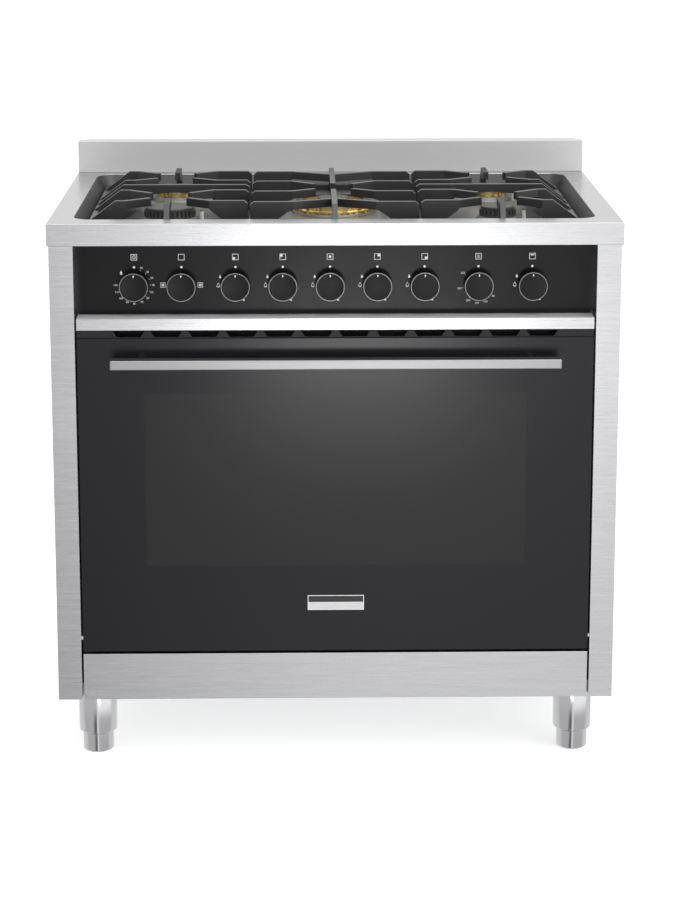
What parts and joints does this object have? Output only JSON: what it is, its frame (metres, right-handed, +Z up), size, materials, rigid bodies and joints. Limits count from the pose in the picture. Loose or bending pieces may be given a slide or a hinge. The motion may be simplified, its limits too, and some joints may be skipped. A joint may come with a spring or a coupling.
{
  "type": "freestanding gas range",
  "caption": "Freestanding gas range with a recessed hob, cast pan supports, low back guard, wide glass oven door, storage drawer and adjustable feet.",
  "frame": {"origin": "on the floor, under the middle of the whole object", "axes": "+Z up, the front with the door and knobs faces -Y, +X to the right as seen from the front"},
  "size_m": [0.9, 0.644, 0.933],
  "materials": {
    "brushed_steel": "horizontal brushed grain",
    "satin_bar": "satin",
    "zinc_sheet": "zinc coated sheet",
    "black_enamel": "vitreous enamel",
    "panel_black": "gloss black",
    "door_glass": "black printed glass",
    "clear_glass": "clear",
    "rubber_seal": "matt",
    "mineral_wool": "fibrous",
    "plated_wire": "plated",
    "knob_black": "satin black",
    "switch_plastic": "moulded",
    "gas_alloy": "die cast",
    "brass": "turned",
    "ceramic_white": "glazed",
    "cast_iron": "matt enamelled",
    "polished_steel": "polished",
    "badge_metal": "plain plate"
  },
  "bodies": {
    "body": {"side_panel_left": "brushed_steel", "side_panel_right": "brushed_steel", "rear_panel": "zinc_sheet", "base_pan": "zinc_sheet", "oven_front_frame": "black_enamel", "terminal_box": "switch_plastic", "cooktop": "brushed_steel", "back_guard": "brushed_steel", "door_seal": "rubber_seal", "drawer_runners": "zinc_sheet", "oven_liner": "black_enamel", "oven_insulation": "mineral_wool", "shelf_rails": "plated_wire", "oven_shelf": "plated_wire", "oven_burner": "plated_wire", "grill_burner": "plated_wire", "control_panel": "panel_black", "gas_manifold": "gas_alloy", "gas_taps": "gas_alloy", "switch_bodies": "switch_plastic", "foot_sleeves": "polished_steel", "burner_cups": "gas_alloy", "burner_crowns": "brass", "burner_caps": "black_enamel", "spark_electrodes": "ceramic_white"},
    "door": {"door_glass": "door_glass", "door_trim": "brushed_steel", "door_frame": "black_enamel", "door_inner_glass": "clear_glass", "door_hinge_pins": "plated_wire", "handle_bar": "satin_bar", "handle_posts": "satin_bar", "door_badge": "badge_metal"},
    "drawer": {"drawer_front": "brushed_steel", "drawer_tray": "zinc_sheet"},
    "timer_knob": {"knob_1": "knob_black", "spindle_1": "plated_wire"},
    "selector_knob": {"knob_2": "knob_black", "spindle_2": "plated_wire"},
    "burner_a_spindle": {"spindle_3": "plated_wire"},
    "burner_a_knob": {"knob_3": "knob_black"},
    "burner_b_spindle": {"spindle_4": "plated_wire"},
    "burner_b_knob": {"knob_4": "knob_black"},
    "burner_c_spindle": {"spindle_5": "plated_wire"},
    "burner_c_knob": {"knob_5": "knob_black"},
    "burner_d_spindle": {"spindle_6": "plated_wire"},
    "burner_d_knob": {"knob_6": "knob_black"},
    "burner_e_spindle": {"spindle_7": "plated_wire"},
    "burner_e_knob": {"knob_7": "knob_black"},
    "thermostat_spindle": {"spindle_8": "plated_wire"},
    "thermostat_knob": {"knob_8": "knob_black"},
    "grill_spindle": {"spindle_9": "plated_wire"},
    "grill_knob": {"knob_9": "knob_black"},
    "foot_front_left": {"foot_1": "polished_steel"},
    "foot_front_right": {"foot_2": "polished_steel"},
    "foot_rear_left": {"foot_3": "polished_steel"},
    "foot_rear_right": {"foot_4": "polished_steel"},
    "grate_left": {"grate_left": "cast_iron"},
    "grate_centre": {"grate_centre": "cast_iron"},
    "grate_right": {"grate_right": "cast_iron"}
  },
  "joints": [
    {"name": "door_hinge", "type": "hinge", "parent": "body", "child": "door", "pos_m": [0, -0.2665, 0.201], "axis": [1, 0, 0], "range_deg": [0, 90]},
    {"name": "drawer_slide", "type": "slide", "parent": "body", "child": "drawer", "axis": [0, -1, 0], "range_m": [0, 0.4]},
    {"name": "timer_turn", "type": "hinge", "parent": "body", "child": "timer_knob", "pos_m": [-0.31675, -0.2395, 0.774], "axis": [0, 1, 0], "range_deg": [-45, 270]},
    {"name": "selector_turn", "type": "hinge", "parent": "body", "child": "selector_knob", "pos_m": [-0.24225, -0.2395, 0.774], "axis": [0, 1, 0], "range_deg": [-90, 90]},
    {"name": "burner_a_turn", "type": "hinge", "parent": "body", "child": "burner_a_spindle", "pos_m": [-0.15725, -0.2395, 0.774], "axis": [0, -1, 0], "range_deg": [0, 210]},
    {"name": "burner_a_push", "type": "slide", "parent": "burner_a_spindle", "child": "burner_a_knob", "axis": [0, 1, 0], "range_m": [0, 0.0035], "stiffness_N_per_m": 600, "springref_m": -0.002},
    {"name": "burner_b_turn", "type": "hinge", "parent": "body", "child": "burner_b_spindle", "pos_m": [-0.08275, -0.2395, 0.774], "axis": [0, -1, 0], "range_deg": [0, 210]},
    {"name": "burner_b_push", "type": "slide", "parent": "burner_b_spindle", "child": "burner_b_knob", "axis": [0, 1, 0], "range_m": [0, 0.0035], "stiffness_N_per_m": 600, "springref_m": -0.002},
    {"name": "burner_c_turn", "type": "hinge", "parent": "body", "child": "burner_c_spindle", "pos_m": [-0.00825, -0.2395, 0.774], "axis": [0, -1, 0], "range_deg": [0, 210]},
    {"name": "burner_c_push", "type": "slide", "parent": "burner_c_spindle", "child": "burner_c_knob", "axis": [0, 1, 0], "range_m": [0, 0.0035], "stiffness_N_per_m": 600, "springref_m": -0.002},
    {"name": "burner_d_turn", "type": "hinge", "parent": "body", "child": "burner_d_spindle", "pos_m": [0.06625, -0.2395, 0.774], "axis": [0, -1, 0], "range_deg": [0, 210]},
    {"name": "burner_d_push", "type": "slide", "parent": "burner_d_spindle", "child": "burner_d_knob", "axis": [0, 1, 0], "range_m": [0, 0.0035], "stiffness_N_per_m": 600, "springref_m": -0.002},
    {"name": "burner_e_turn", "type": "hinge", "parent": "body", "child": "burner_e_spindle", "pos_m": [0.14075, -0.2395, 0.774], "axis": [0, -1, 0], "range_deg": [0, 210]},
    {"name": "burner_e_push", "type": "slide", "parent": "burner_e_spindle", "child": "burner_e_knob", "axis": [0, 1, 0], "range_m": [0, 0.0035], "stiffness_N_per_m": 600, "springref_m": -0.002},
    {"name": "thermostat_turn", "type": "hinge", "parent": "body", "child": "thermostat_spindle", "pos_m": [0.22575, -0.2395, 0.774], "axis": [0, -1, 0], "range_deg": [0, 231]},
    {"name": "thermostat_push", "type": "slide", "parent": "thermostat_spindle", "child": "thermostat_knob", "axis": [0, 1, 0], "range_m": [0, 0.0035], "stiffness_N_per_m": 600, "springref_m": -0.002},
    {"name": "grill_turn", "type": "hinge", "parent": "body", "child": "grill_spindle", "pos_m": [0.31075, -0.2395, 0.774], "axis": [0, -1, 0], "range_deg": [0, 210]},
    {"name": "grill_push", "type": "slide", "parent": "grill_spindle", "child": "grill_knob", "axis": [0, 1, 0], "range_m": [0, 0.0035], "stiffness_N_per_m": 600, "springref_m": -0.002},
    {"name": "foot_front_left_screw", "type": "slide", "parent": "body", "child": "foot_front_left", "axis": [0, 0, -1], "range_m": [0, 0.03]},
    {"name": "foot_front_right_screw", "type": "slide", "parent": "body", "child": "foot_front_right", "axis": [0, 0, -1], "range_m": [0, 0.03]},
    {"name": "foot_rear_left_screw", "type": "slide", "parent": "body", "child": "foot_rear_left", "axis": [0, 0, -1], "range_m": [0, 0.03]},
    {"name": "foot_rear_right_screw", "type": "slide", "parent": "body", "child": "foot_rear_right", "axis": [0, 0, -1], "range_m": [0, 0.03]},
    {"name": "grate_left_lift", "type": "slide", "parent": "body", "child": "grate_left", "axis": [0, 0, 1], "range_m": [0, 0.08]},
    {"name": "grate_centre_lift", "type": "slide", "parent": "body", "child": "grate_centre", "axis": [0, 0, 1], "range_m": [0, 0.08]},
    {"name": "grate_right_lift", "type": "slide", "parent": "body", "child": "grate_right", "axis": [0, 0, 1], "range_m": [0, 0.08]}
  ]
}
